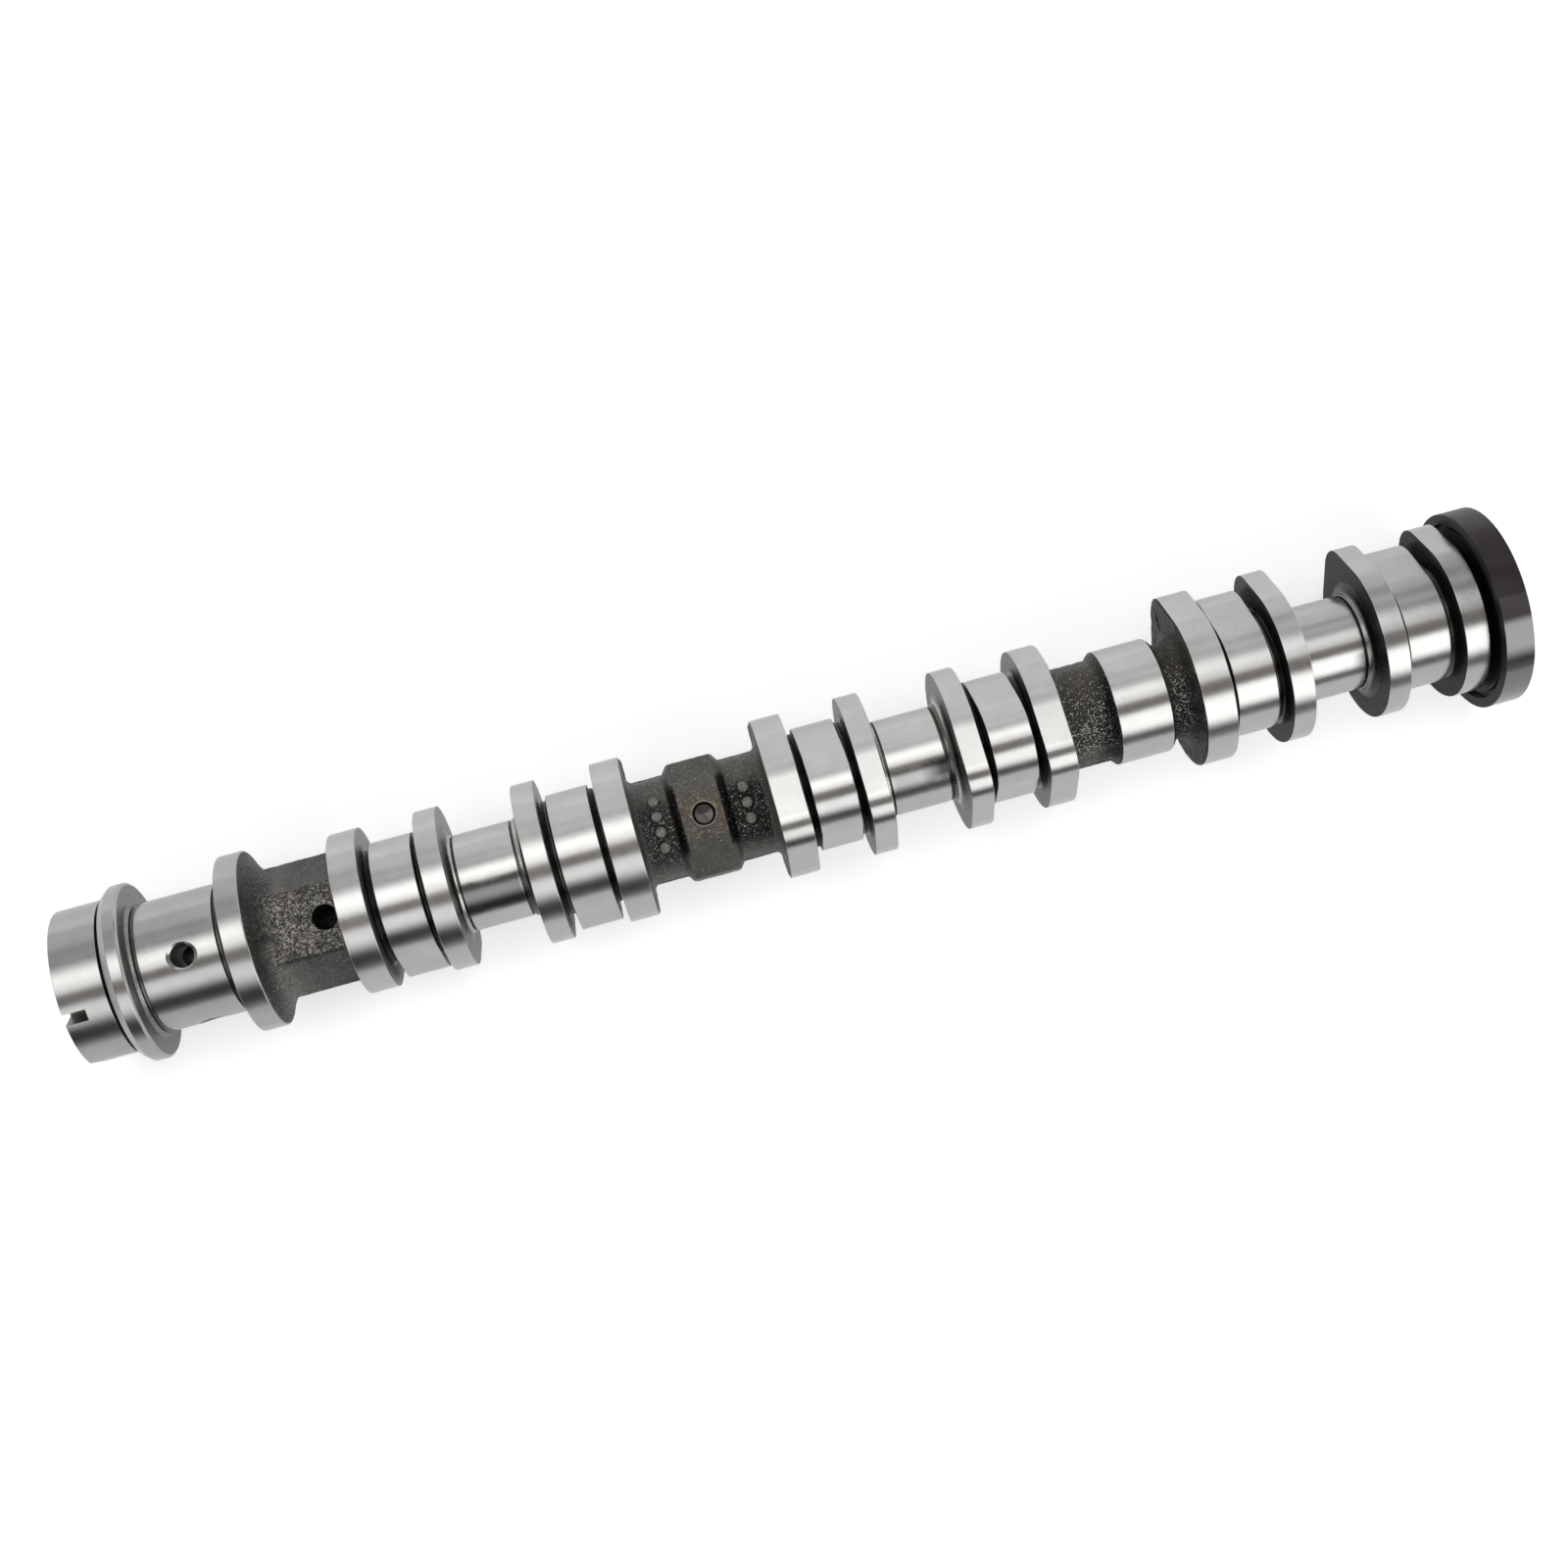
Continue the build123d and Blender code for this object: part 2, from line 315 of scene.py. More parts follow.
def makeTurnedFace(look):  # the sides of flanges and lobes
    finish = newFinish("turnedFace")
    at, x, y, z, radius = finish.place()
    rings = finish.noise(finish.vector(radius * 3.0, y / radius * 2.0, z / radius * 2.0), 1.0, 3.0)
    grain = finish.noise(at, 1.6, 3.0, 0.6)
    colour = finish.blend(finish.ramp(grain, 0.35, 0.7), look["dark"], look["light"])
    shine = finish.ramp(x, *look["rearStarts"], 1.0, look["rearShine"])
    return finish.shade({"Base Color": finish.shaded(colour, shine), "Metallic": 1.0,
                         "Roughness": look["roughness"] + (rings - 0.5) * 0.2,
                         "Normal": finish.bump(rings + grain * 0.5, look["relief"])})


darkLook = {"dark": (0.010, 0.010, 0.0095), "light": (0.015, 0.015, 0.014), "shade": (0.0025, 0.0025, 0.0024),
            "roughness": 0.34, "specular": 0.13, "relief": 0.03}


def makeDarkFace(look):  # the smooth charcoal sides of the rear lobes
    finish = newFinish("darkFace")
    at, _, y, _, radius = finish.place()
    grain = finish.noise(at, 1.4, 3.0, 0.6)
    cloud = finish.noise(at, 0.2, 3.0)
    colour = finish.blend(finish.ramp(cloud, 0.35, 0.7), look["dark"], look["light"])
    # Painted shade: the face is made darker towards the shaft, over all but its top, and a little less at its
    # bottom.
    shade = finish.ramp(y, 14.0, 9.0) * (0.65 + 0.35 * finish.ramp(y, -13.0, -9.0))
    shade = shade * finish.ramp(radius, 22.5, 19.5)
    return finish.shade({"Base Color": finish.blend(shade * 0.85, colour, look["shade"]), "Metallic": 0.0,
                         "Roughness": look["roughness"] + (grain - 0.5) * 0.25,
                         "Specular IOR Level": look["specular"],
                         "Normal": finish.bump(grain, look["relief"])})


gapShadeLook = {"dark": (0.038, 0.038, 0.035), "light": (0.120, 0.118, 0.110), "roughness": 0.26, "relief": 0.02}


def makeGapShadeIron(look):  # the necks between the lobes and the grooves, painted near black as the shade in those narrow gaps
    finish = newFinish("gapShadeIron")
    _, x, y, z, radius = finish.place()
    rings = finish.noise(finish.vector(x * 4.0, y / radius * 4.0, z / radius * 4.0), 1.0, 3.0)
    return finish.shade({"Base Color": finish.blend(rings, look["dark"], look["light"]), "Metallic": 1.0,
                         "Roughness": look["roughness"] + (rings - 0.5) * 0.2,
                         "Normal": finish.bump(rings, look["relief"])})


filletLook = {"bright": (0.44, 0.432, 0.415), "dark": (0.055, 0.055, 0.052), "oil": (0.10, 0.097, 0.090),
              "darkPatch": (0.020, 0.019, 0.017), "darkens": (12.25, 12.7), "roughness": 0.24, "relief": 0.04,
              "oily": (215.5, 216.2, 219.0, 219.5), "darkerBelow": (110.0, 110.5, 113.2, 113.5),
              "rear": (321.5, 322.0)}


def makeFilletIron(look):  # the rolled fillet at each end of a bearing
    finish = newFinish("filletIron")
    at, x, y, z, radius = finish.place()
    rings = finish.noise(finish.vector(radius * 4.0, y / radius * 5.0, z / radius * 5.0), 1.0, 3.0)
    grain = finish.noise(at, 2.2, 3.0, 0.6)
    oily = finish.between(x, *look["oily"])
    colour = finish.blend(finish.ramp(radius - oily * 0.75, *look["darkens"]), look["bright"], look["dark"])
    colour = finish.blend(oily * finish.ramp(radius, 12.6, 12.4), colour, look["oil"])
    # One bearing's rear fillet is made darker on its lower side.
    darkerBelow = finish.between(x, *look["darkerBelow"]) * finish.ramp(y, 0.0, -3.0)
    colour = finish.blend(darkerBelow * 0.85, colour, look["darkPatch"])
    # The last bearing's rear fillet is made darker towards the lobe face.
    rear = finish.ramp(x, *look["rear"]) * finish.ramp(radius, 12.8, 13.4, 0.5, 0.85)
    return finish.shade({"Base Color": finish.blend(rear, colour, look["darkPatch"]), "Metallic": 1.0,
                         "Roughness": look["roughness"] + (grain - 0.5) * 0.3,
                         "Normal": finish.bump(rings * 0.5 + grain, look["relief"])})


castLook = {
    "dark": (0.058, 0.056, 0.050), "light": (0.086, 0.083, 0.076), "byBand": (0.140, 0.137, 0.124),
    "rear": (0.010, 0.0097, 0.009), "coneFoot": (0.17, 0.165, 0.150), "footHighlight": (0.34, 0.33, 0.31),
    "flash": (0.22, 0.213, 0.195), "flat": (0.245, 0.233, 0.214), "rust": (0.165, 0.124, 0.080),
    "shaft": (0.014, 0.0135, 0.012), "neckRust": (0.070, 0.060, 0.046), "black": (0.008, 0.008, 0.007),
    "crease": (0.010, 0.010, 0.009), "pit": (0.012, 0.012, 0.011), "slope": (0.006, 0.006, 0.005),
    "dust": (0.42, 0.41, 0.38), "glint": (0.60, 0.59, 0.55), "rim": (0.26, 0.235, 0.19),
    "bandX": 156.2, "spotX": 156.6, "seamY": -8.2, "roughness": 0.40, "relief": 0.40, "metallic": 0.55,
    "flatX": (48.6, 51.6, 68.0, 69.0), "seamX": (49.0, 52.0, 68.0, 69.0), "coneX": (50.0, 53.0, 54.0, 57.5),
    "footX": (47.5, 49.5, 51.0, 53.5), "hollowX": (161.5, 163.0, 173.0, 174.0), "edgeX": (254.5, 258.0),
    "edgeEnd": (262.0, 260.0), "neckX": (245.0, 247.0), "rearX": (270.5, 273.5), "shaftX": (70.0, 71.0),
    "slopeFromBand": (4.95, 5.35, 6.9, 7.4), "flashFromBand": (8.2, 8.8, 13.0, 13.6),
}


def makeCastIron(look):
    finish = newFinish("castIron")
    at, x, y, z, radius = finish.place()
    ramp, between = finish.ramp, finish.between
    aside = abs(y)
    fromBand = abs(x - look["bandX"])

    # The grain of the sand: fine creases where two slow noises cross their middle, clouds, dust and pits.
    grain = finish.noise(at, 1.8, 4.0, 0.65)
    slow = [finish.noise(finish.vector(*sizes), 1.0, 3.0, 0.6) - 0.5 for sizes in
            ((x * 0.6 + y * 0.5, y * 1.1 - x * 0.3, z * 0.8), (x * 1.1 + y * 0.3 + 40, y * 0.6 - x * 0.4, z))]
    creases = ramp(abs(slow[0]), 0.006, 0.040) * ramp(abs(slow[1]), 0.004, 0.034)
    cloud = finish.noise(at, 0.12, 3.0)
    patch = finish.noise(at, 0.20, 4.0, 0.6)
    dust = finish.noise(at, 2.3, 2.0, 0.5)
    ragged = (patch - 0.5) * 3.0

    # Where each part of the casting lies.
    flat = between(x, *look["flatX"]) * ramp(aside, 8.4, 7.9) * ramp(z, 12.4, 13.0)
    bandTop = ramp(fromBand, 5.3, 5.0) * ramp(aside, 6.3, 5.9) * ramp(z, 13.7, 14.0)
    # Painted shade: the slopes at each end of the band are made near black.
    slopes = between(fromBand, *look["slopeFromBand"]) * ramp(aside + ragged, 9.4, 7.6)
    # Painted shade: the round shaft is made near black over its middle, away from its top and bottom edges.
    shaft = ramp(radius, 13.1, 12.8) * ramp(x, *look["shaftX"])
    shaft = shaft * between(y + ragged * 0.7, -11.0, -7.6, 3.6, 7.0)
    edge = ramp(x - y * 0.25, *look["edgeX"]) * ramp(x, *look["edgeEnd"])
    hollow = between(x, *look["hollowX"]) * shaft
    neck = ramp(x, *look["neckX"]) * ramp(aside, 12.0, 10.0)
    cone = ramp(x, 53.0, 49.0)
    # Painted shade: the neck behind the boss and the lobe cheek after it are made near black.
    rear = ramp(x, *look["rearX"])
    # Painted highlight: the lower side at the cone's foot is made light.
    foot = between(x, *look["footX"]) * ramp(y + ragged, -2.0, -5.0)
    # Painted highlight: the tops of the raised pips and flash beside the band are made lighter.
    flash = ramp(radius, 12.95, 13.15) * between(fromBand, *look["flashFromBand"])
    rust = flat * ramp(patch, 0.50, 0.62) * ramp(aside, 2.5, 6.5) + bandTop * ramp(patch, 0.36, 0.56)
    seam = ramp(abs(y - look["seamY"]), 0.7, 0.15) * between(x, *look["seamX"]) * ramp(dust, 0.62, 0.50)
    # Painted highlight: a lighter ring round the spot's rim.
    rim = ramp(((x - look["spotX"]) * (x - look["spotX"]) + y * y) ** 0.5, 3.35, 3.05) * ramp(z, 13.9, 14.2)
    glints = finish.noise(at, 2.6, 1.0) + neck * ramp(y, 8.0, -5.0, -0.03, 0.045)
    glintPlaces = neck * (1 - rear * 0.5) * (1 - edge * 0.8) + shaft * 0.5

    colour = finish.blend(ramp(cloud, 0.38, 0.64), look["dark"], look["light"])
    for mask, shade in (
            (ramp(fromBand, 18.5, 17.5) * 0.45, "byBand"),
            # painted shade behind the boss
            (rear * 0.92, "rear"),
            # painted light at the foot of the cone
            (between(x, *look["coneX"]) * 0.5, "coneFoot"),
            # painted highlight on the lower side of the cone's foot
            (foot * 0.6, "footHighlight"),
            # painted highlight on the tops of the raised pips and flash
            (flash, "flash"),
            (flat * ramp(patch, 0.28, 0.48), "flat"),
            (rust * 0.65, "rust"),
            # painted shade on the middle of the round shaft
            (shaft * (1 - neck) * 0.95 + neck * shaft * 0.72, "shaft"),
            (neck * ramp(y + ragged, -1.0, 3.0) * 0.5, "neckRust"),
            (edge * 0.95, "black"),
            (ramp(creases, 1.0, 0.0) * (0.45 + flat * 0.34), "crease"),
            (ramp(grain, 0.46, 0.36) * (0.5 - flat * 0.3), "pit"),
            (seam * 0.8, "crease"),
            # painted shade on the slopes beside the band
            (slopes * 0.93, "slope"),
            (ramp(dust + shaft * 0.02, 0.65, 0.71) * (1 - flat * 0.5), "dust"),
            (ramp(glints, 0.65, 0.69) * glintPlaces, "glint"),
            # painted highlight round the spot's rim
            (rim * 0.7, "rim")):
        colour = finish.blend(mask, colour, look[shade])

    height = grain * (0.42 + neck * 0.25 - flat * 0.12) + creases * (0.16 + flat * 0.75 + cone * 0.6)
    # Painted shade: the rear's lower side is kept darker still by full metal.
    under = rear * ramp(y, -2.0, -8.0)
    dead = (slopes + hollow * 0.7).toOne(edge * 0.9 + under * 0.8)  # full metal keeps these darker; on the slopes, the shaft behind the band and the rear's lower side this is painted shade
    return finish.shade({"Base Color": colour, "Metallic": look["metallic"] + dead * (1 - look["metallic"]),
                         "Roughness": look["roughness"] + (grain - 0.5) * 0.3,
                         "Normal": finish.bump(height, look["relief"])})


drilledLook = {"dark": (0.12, 0.118, 0.110), "light": (0.30, 0.29, 0.275), "bright": (0.36, 0.355, 0.34),
               "black": (0.012, 0.012, 0.011), "brightX": (20.0, 24.0, 48.0, 52.0),
               "roughness": 0.34, "relief": 0.03}


def makeDrilledIron(look):  # the walls of drilled holes and of the nose slot
    finish = newFinish("drilledIron")
    at, x, y, _, _ = finish.place()
    rings = finish.noise(at, 2.0, 3.0)
    colour = finish.blend(rings, look["dark"], look["light"])
    # Painted light: hole walls between x 20 and 52 are made lighter, as light inside those holes.
    colour = finish.blend(finish.between(x, *look["brightX"]), colour, look["bright"])
    # Painted shade: walls below y -9, in the hole facing -Y, are made near black.
    colour = finish.blend(finish.ramp(y, -9.0, -10.0), colour, look["black"])
    return finish.shade({"Base Color": colour, "Metallic": 1.0, "Roughness": look["roughness"],
                         "Normal": finish.bump(rings, look["relief"])})


ringLook = {"dark": (0.010, 0.0062, 0.0058), "light": (0.017, 0.0110, 0.0102), "roughness": 0.45,
            "relief": 0.008, "specular": 0.24, "coatRoughness": 0.12, "coatBends": 2.2,
            "lowerSheen": (-0.8, -3.2, 0.18, 1.0)}


def makeRingCompound(look):
    finish = newFinish("ringCompound")
    at, _, y, _, _ = finish.place()
    cloud = finish.noise(at, 0.25, 4.0, 0.6)
    grit = finish.noise(at, 3.0, 2.0)
    colour = finish.blend(finish.ramp(cloud, 0.35, 0.65), look["dark"], look["light"])
    return finish.shade({"Base Color": colour, "Metallic": 0.0,
                         "Roughness": look["roughness"] + (cloud - 0.5) * 0.12,
                         "Specular IOR Level": look["specular"],
                         # Painted sheen: the coat grows towards -Y, so the ring shines more on its lower
                         # side.
                         "Coat Weight": finish.ramp(y, *look["lowerSheen"]),
                         "Coat Roughness": look["coatRoughness"], "Coat IOR": look["coatBends"],
                         "Normal": finish.bump(grit * 0.4 + cloud * 2, look["relief"])})


groundIron = makeGroundIron(groundLook)
turnedFace = makeTurnedFace(turnedLook)
darkFace = makeDarkFace(darkLook)
gapShadeIron = makeGapShadeIron(gapShadeLook)
filletIron = makeFilletIron(filletLook)
castIron = makeCastIron(castLook)
drilledIron = makeDrilledIron(drilledLook)
ringCompound = makeRingCompound(ringLook)
print("finishes made")


def fromAxis(centre):
    return hypot(centre.y, centre.z)


def dress(piece, material, *others):  # others are (material, rule on a face's centre in mm and its normal)
    piece.data.materials.clear()
    piece.data.materials.append(material)
    for slot, (other, rule) in enumerate(others, 1):
        piece.data.materials.append(other)
        for face in piece.data.polygons:
            if rule(face.center * (1 / mm), face.normal):
                face.material_index = slot


def showAs(piece, node="camshaft"):
    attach(piece, "root")
    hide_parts(node)


# Nose, thrust flanges and first bearing.

frontEnd = {
    "stations": [(0, 19.33), (11.2, 19.33), (11.2, 17.6), (11.5, 17.5), (11.75, 17.9), (12.0, 17.6),  # nose
                 (12.3, 17.7), (12.3, 20.45), (14.05, 21.9), (16.75, 21.9), (17.4, 21.25),  # front flange
                 (17.4, 17.1), (17.48, 16.8), (17.65, 16.62), (18.35, 16.45), (18.45, 15.75), (19.12, 15.5),
                 (19.2, 15.85), (19.3, 16.0), (38.05, 16.0), (38.2, 15.85),  # bearing
                 (38.2, 15.3), (38.9, 15.3), (39.0, 15.9), (39.2, 16.1), (39.5, 16.2), (39.9, 16.45),
                 (40.3, 16.9), (40.55, 17.5), (40.7, 18.3),  # fillet
                 (40.7, 21.9), (46.1, 21.9), (46.4, 21.6), (46.4, 12.0)],  # rear flange
    "edge": 0.16, "noseRadius": 19.33, "flat": 18.43,
    "slotAngle": 23.4, "slotWidth": 2.9, "slotLength": 5.6, "slotDepth": 6.0,
    "boltRadius": 5.4, "boltDepth": 24.0, "galleryRadius": 4.0, "bearingRadius": 16.0,
    "oilHoleX": 29.53, "oilHoleRadius": 2.9, "oilMouth": 1.5,
    "grooves": [(11.21, 12.29, 19.0), (18.36, 19.24, 16.1), (38.19, 38.95, 15.9)],  # start, end, radius
    "collar": (17.4, 18.4, 17.3), "fillet": (38.95, 40.7, 18.4),
}


def makeFrontEnd(size):
    piece = turned("frontEnd", size["stations"], 256)
    roundEdges(piece, size["edge"])
    combine(piece, block("flatTool", (24, 10, 60), (-0.8, -size["flat"] - 5, 0)))
    lean = radians(size["slotAngle"])
    middle = size["noseRadius"] - size["slotDepth"] / 2 + 2
    slot = block("slotTool", (2 * size["slotLength"], size["slotWidth"], size["slotDepth"] + 4),
                 (0, -middle * sin(lean), middle * cos(lean)), (lean, 0, 0))
    combine(piece, slot)
    combine(piece, rod("boltTool", size["boltRadius"], size["boltDepth"] + 5, (-5, 0, 0)))
    combine(piece, rod("sinkTool", 7.2, 2.0, (-1.0, 0, 0), endRadius=5.2))
    combine(piece, rod("galleryTool", size["galleryRadius"], 30, (size["boltDepth"] - 1, 0, 0)))
    onAxis = Vector((size["oilHoleX"], 0, 0))
    for towards in ((0, 0, 1), (0, -1, 0)):
        out = Vector(towards)
        combine(piece, rod("oilTool", size["oilHoleRadius"], 20, onAxis + out * 0.5, towards))
        combine(piece, rod("mouthTool", size["oilHoleRadius"] - 0.1, 1.2, onAxis + out * 15.3, towards,
                           endRadius=size["oilHoleRadius"] + size["oilMouth"]))
    smoothTurned(piece)

    def inHole(centre, normal):
        if fromAxis(centre) < 6.2 and abs(normal.x) < 0.9:
            return True
        aside = hypot(centre.x - size["oilHoleX"], centre.y if centre.z > 8 else centre.z)
        # The mouth of the hole facing -Y takes the drilled finish too, and with it that painted shade.
        if centre.y < -13 and aside < size["oilHoleRadius"] + 1.2 and abs(normal.y) < 0.94:
            return True
        return aside < size["oilHoleRadius"] + 0.05 and (centre.z > 5 or centre.y < -5) \
            and fromAxis(centre) < size["bearingRadius"] - 0.1 and abs(normal.x) + abs(normal.y) > 0.3

    def inGroove(centre, normal):
        return any(start < centre.x < end and fromAxis(centre) < radius
                   for start, end, radius in size["grooves"])

    def inSlot(centre, normal):
        across = centre.y * cos(lean) + centre.z * sin(lean)
        depth = -centre.y * sin(lean) + centre.z * cos(lean)
        return centre.x < size["slotLength"] + 0.01 and abs(across) < size["slotWidth"] / 2 + 0.01 \
            and depth > 13 and fromAxis(centre) < size["noseRadius"] - 0.13

    def within(span):
        start, end, radius = span
        return lambda centre, normal: start < centre.x < end and fromAxis(centre) < radius

    dress(piece, groundIron, (turnedFace, lambda centre, normal: abs(normal.x) > 0.9),
          (turnedFace, within(size["collar"])), (drilledIron, inSlot), (filletIron, within(size["fillet"])),
          (gapShadeIron, inGroove), (drilledIron, inHole))
    showAs(piece)


makeFrontEnd(frontEnd)
print("front end made")


# Lobe groups. Faces, gaps and ends are measured outwards from the middle of the group's bearing.

lobeGroups = {
    "bearings": [103.6, 209.6, 315.6], "endWidths": [(7.24, 7.41), (7.61, 7.13), (8.03, 6.2)],
    "sideBase": 19.97, "sideLift": 3.22, "sideTip": 8.5, "centreBase": 15.46, "centreLift": 5.34,
    "centreTip": 11.4, "firstNose": 150.0, "step": 120.0, "lag": 18.1, "edge": 0.14,
    "innerFace": 9.3, "innerWidth": 5.6, "centreFace": 16.84, "centreWidth": 10.3, "endFace": 29.06,
    "core": 14.1, "coreEnd": 32.0, "bearingRadius": 12.0, "bearingEnds": (7.45, 6.81),
    "grooveEnds": (7.82, 7.25), "grooveRadius": 11.35,
    "filletFoot": 12.26, "filletTop": (9.25, 14.8), "filletEnd": (9.32, 14.83),
    "gapStarts": (14.89, 27.13), "gapStretch": 1.03,
    "gap": [(0.0, 15.2), (0.08, 14.8), (0.22, 14.5), (0.42, 14.32), (0.60, 14.42), (0.74, 14.22),
            (0.92, 14.36), (1.06, 14.18), (1.24, 14.30), (1.44, 14.26), (1.64, 14.45), (1.80, 14.75),
            (1.90, 15.1)],
    "cheekSkin": 0.25, "cheekInset": 0.35,
}


def lobePattern(name, base, lift, tip):  # one millimetre thick, its nose towards +Z
    deselectAll()
    bpy.ops.mesh.primitive_cylinder_add(vertices=224, radius=base * mm, depth=mm, rotation=alongShaft)
    piece = settle(bpy.context.object, name)
    bpy.ops.object.mode_set(mode="EDIT")
    bpy.ops.mesh.primitive_cylinder_add(vertices=160, radius=tip * mm, depth=mm, rotation=alongShaft,
                                        location=(0, 0, (base + lift - tip) * mm))
    bpy.ops.mesh.select_all(action="SELECT")
    bpy.ops.mesh.convex_hull()
    bpy.ops.mesh.dissolve_limited(angle_limit=radians(0.2))
    faceOutwards(piece)
    return piece


def lobe(pattern, start, width, angle, edge):
    piece = twin(pattern, "lobe")
    pick(piece)
    piece.scale.x = abs(width)
    piece.rotation_euler.x = radians(angle)
    piece.location.x = (start + width / 2) * mm
    settle(piece, "lobe")
    if edge:
        roundEdges(piece, edge, 60)
    return piece


def coreStations(size, bearing):  # from the front of a group to its rear
    def half(bearingEnd, lip):
        core, groove = size["core"], size["grooveRadius"]
        out = [(bearingEnd - 0.14, size["bearingRadius"]), (bearingEnd, size["bearingRadius"] - 0.14),
               (bearingEnd, groove), (lip, groove), (lip + 0.04, groove + 0.6), (lip + 0.14, groove + 0.81),
               (lip + 0.30, groove + 0.89)]
        out += hollowCurve(lip + 0.42, size["filletFoot"], *size["filletTop"], 8) + [size["filletEnd"]]
        for gapStart in size["gapStarts"]:
            out += [(out[-1][0] + 0.1, core), (gapStart - 0.1, core)]
            out += [(gapStart + along * size["gapStretch"], radius) for along, radius in size["gap"]]
        return out + [(out[-1][0] + 0.1, core), (size["coreEnd"], core)]

    front, rear = (half(*ends) for ends in zip(size["bearingEnds"], size["grooveEnds"]))
    return [(bearing - along, radius) for along, radius in reversed(front)] \
        + [(bearing + along, radius) for along, radius in rear]


def groupLobes(size, patterns, bearing, widths, sideAngle):
    side, centre = patterns
    lobes = []
    for end, endWidth in zip((-1, 1), widths):
        for face, width, pattern, angle in (
                (size["innerFace"], size["innerWidth"], side, sideAngle),
                (size["centreFace"], size["centreWidth"], centre, sideAngle - size["lag"]),
                (size["endFace"], endWidth - size["cheekSkin"], side, sideAngle)):
            lobes.append(lobe(pattern, bearing + end * face, end * width, angle, size["edge"]))
    return joined(lobes, "lobes")


def makeLobeGroups(size):
    side = lobePattern("sidePattern", size["sideBase"], size["sideLift"], size["sideTip"])
    centre = lobePattern("centrePattern", size["centreBase"], size["centreLift"], size["centreTip"])
    gaps = [(start + 0.02, face - 0.01) for start, face in
            zip(size["gapStarts"], (size["centreFace"], size["endFace"]))]
    for index, (bearing, widths) in enumerate(zip(size["bearings"], size["endWidths"])):
        lobes = groupLobes(size, (side, centre), bearing, widths, size["firstNose"] - index * size["step"])
        piece = turned(f"lobeGroup{index + 1}", coreStations(size, bearing), 224)
        combine(piece, lobes, "UNION")
        smoothTurned(piece)

        def inFillet(centre, normal):
            along, radius = abs(centre.x - bearing), fromAxis(centre)
            step = abs(normal.x) > 0.99 and radius < 12.1
            return 7.0 < along < 9.29 and 11.92 < radius < 14.85 and not step

        def inGap(centre, normal):
            along, radius = abs(centre.x - bearing), fromAxis(centre)
            return radius < 11.93 and along < 9.2 \
                or radius < 15.25 and any(start < along < end for start, end in gaps)

        dark = index == 2  # the last group's front sides
        dress(piece, groundIron,
              (turnedFace, lambda centre, normal: abs(normal.x) > 0.9 and not (dark and normal.x < 0)),
              (darkFace, lambda centre, normal: dark and normal.x < -0.9),
              (filletIron, inFillet), (gapShadeIron, inGap))
        showAs(piece)
        print(f"lobe group {index + 1} made")
    bpy.data.objects.remove(centre)
    return side


sidePattern = makeLobeGroups(lobeGroups)


# Rough-cast parts.

castSkins = {"plain": {"voxel": 0.30, "soften": 1, "lumps": [(0.16, 2.6), (0.08, 0.9)]},
             "coarse": {"voxel": 0.31, "soften": 2, "lumps": [(0.30, 2.6), (0.26, 0.9)]}}
roughShaft = {"radius": 12.55, "flare": 2.2, "flareRise": 2.8}


def castSkin(piece, size):  # remeshed fine, softened, then made lumpy and grainy
    useModifier(piece, "REMESH", mode="VOXEL", voxel_size=size["voxel"] * mm)
    useModifier(piece, "SMOOTH", factor=0.6, iterations=size["soften"])
    for depth, width in size["lumps"]:
        cloud = bpy.data.textures.new("castCloud", "CLOUDS")
        cloud.noise_scale = width * mm
        cloud.noise_depth = 2
        useModifier(piece, "DISPLACE", texture=cloud, strength=depth * mm, mid_level=0.5,
                    texture_coords="LOCAL")
        bpy.data.textures.remove(cloud)
    pick(piece)
    bpy.ops.object.shade_smooth()


def addCheek(piece, face, towards, group, size=lobeGroups):  # the lobe's rough side, with a seam across it
    inset = 1 - size["cheekInset"] / 20
    cheek = lobe(sidePattern, face, -towards * 1.0, size["firstNose"] - group * size["step"], 0)
    cheek.scale = (1, inset, inset)
    settle(cheek, "cheek")
    combine(piece, cheek, "UNION")
    combine(piece, block("seam", (0.7, 8.0, 0.55), (face, 15.0, -1.2)), "UNION")


def addFlash(piece, start, end, radius):  # the raised seams that the two halves of the mould leave
    for side in (-1, 1):
        flash = block("flash", (end - start, 0.7, 0.8), ((start + end) / 2, side * radius, 0))
        combine(piece, flash, "UNION")


def flareTo(face, size=roughShaft):  # a rough shaft widens into the lobe behind it
    top = size["radius"] + size["flareRise"]
    return hollowCurve(face - size["flare"], size["radius"], face, top) + [(face + 1, top)]


def flareFrom(face):  # the same, turned round, for the lobe in front of it
    return [(2 * face - x, radius) for x, radius in reversed(flareTo(face))]


hexagonPart = {"flats": 28.3, "corner": 0.6, "ventX": 63.7, "ventRadius": 3.1, "galleryRadius": 4.0,
               "cone": [(44.0, 20.0), (46.35, 21.75), (46.5, 21.4), (47.6, 18.9), (49.2, 16.6), (51.6, 14.6),
                        (54.0, 13.6), (56.0, 12.5)],
               "start": 44.5, "end": 67.30, "flareX": 65.2, "flareRadius": 12.9, "flareTop": 16.2}


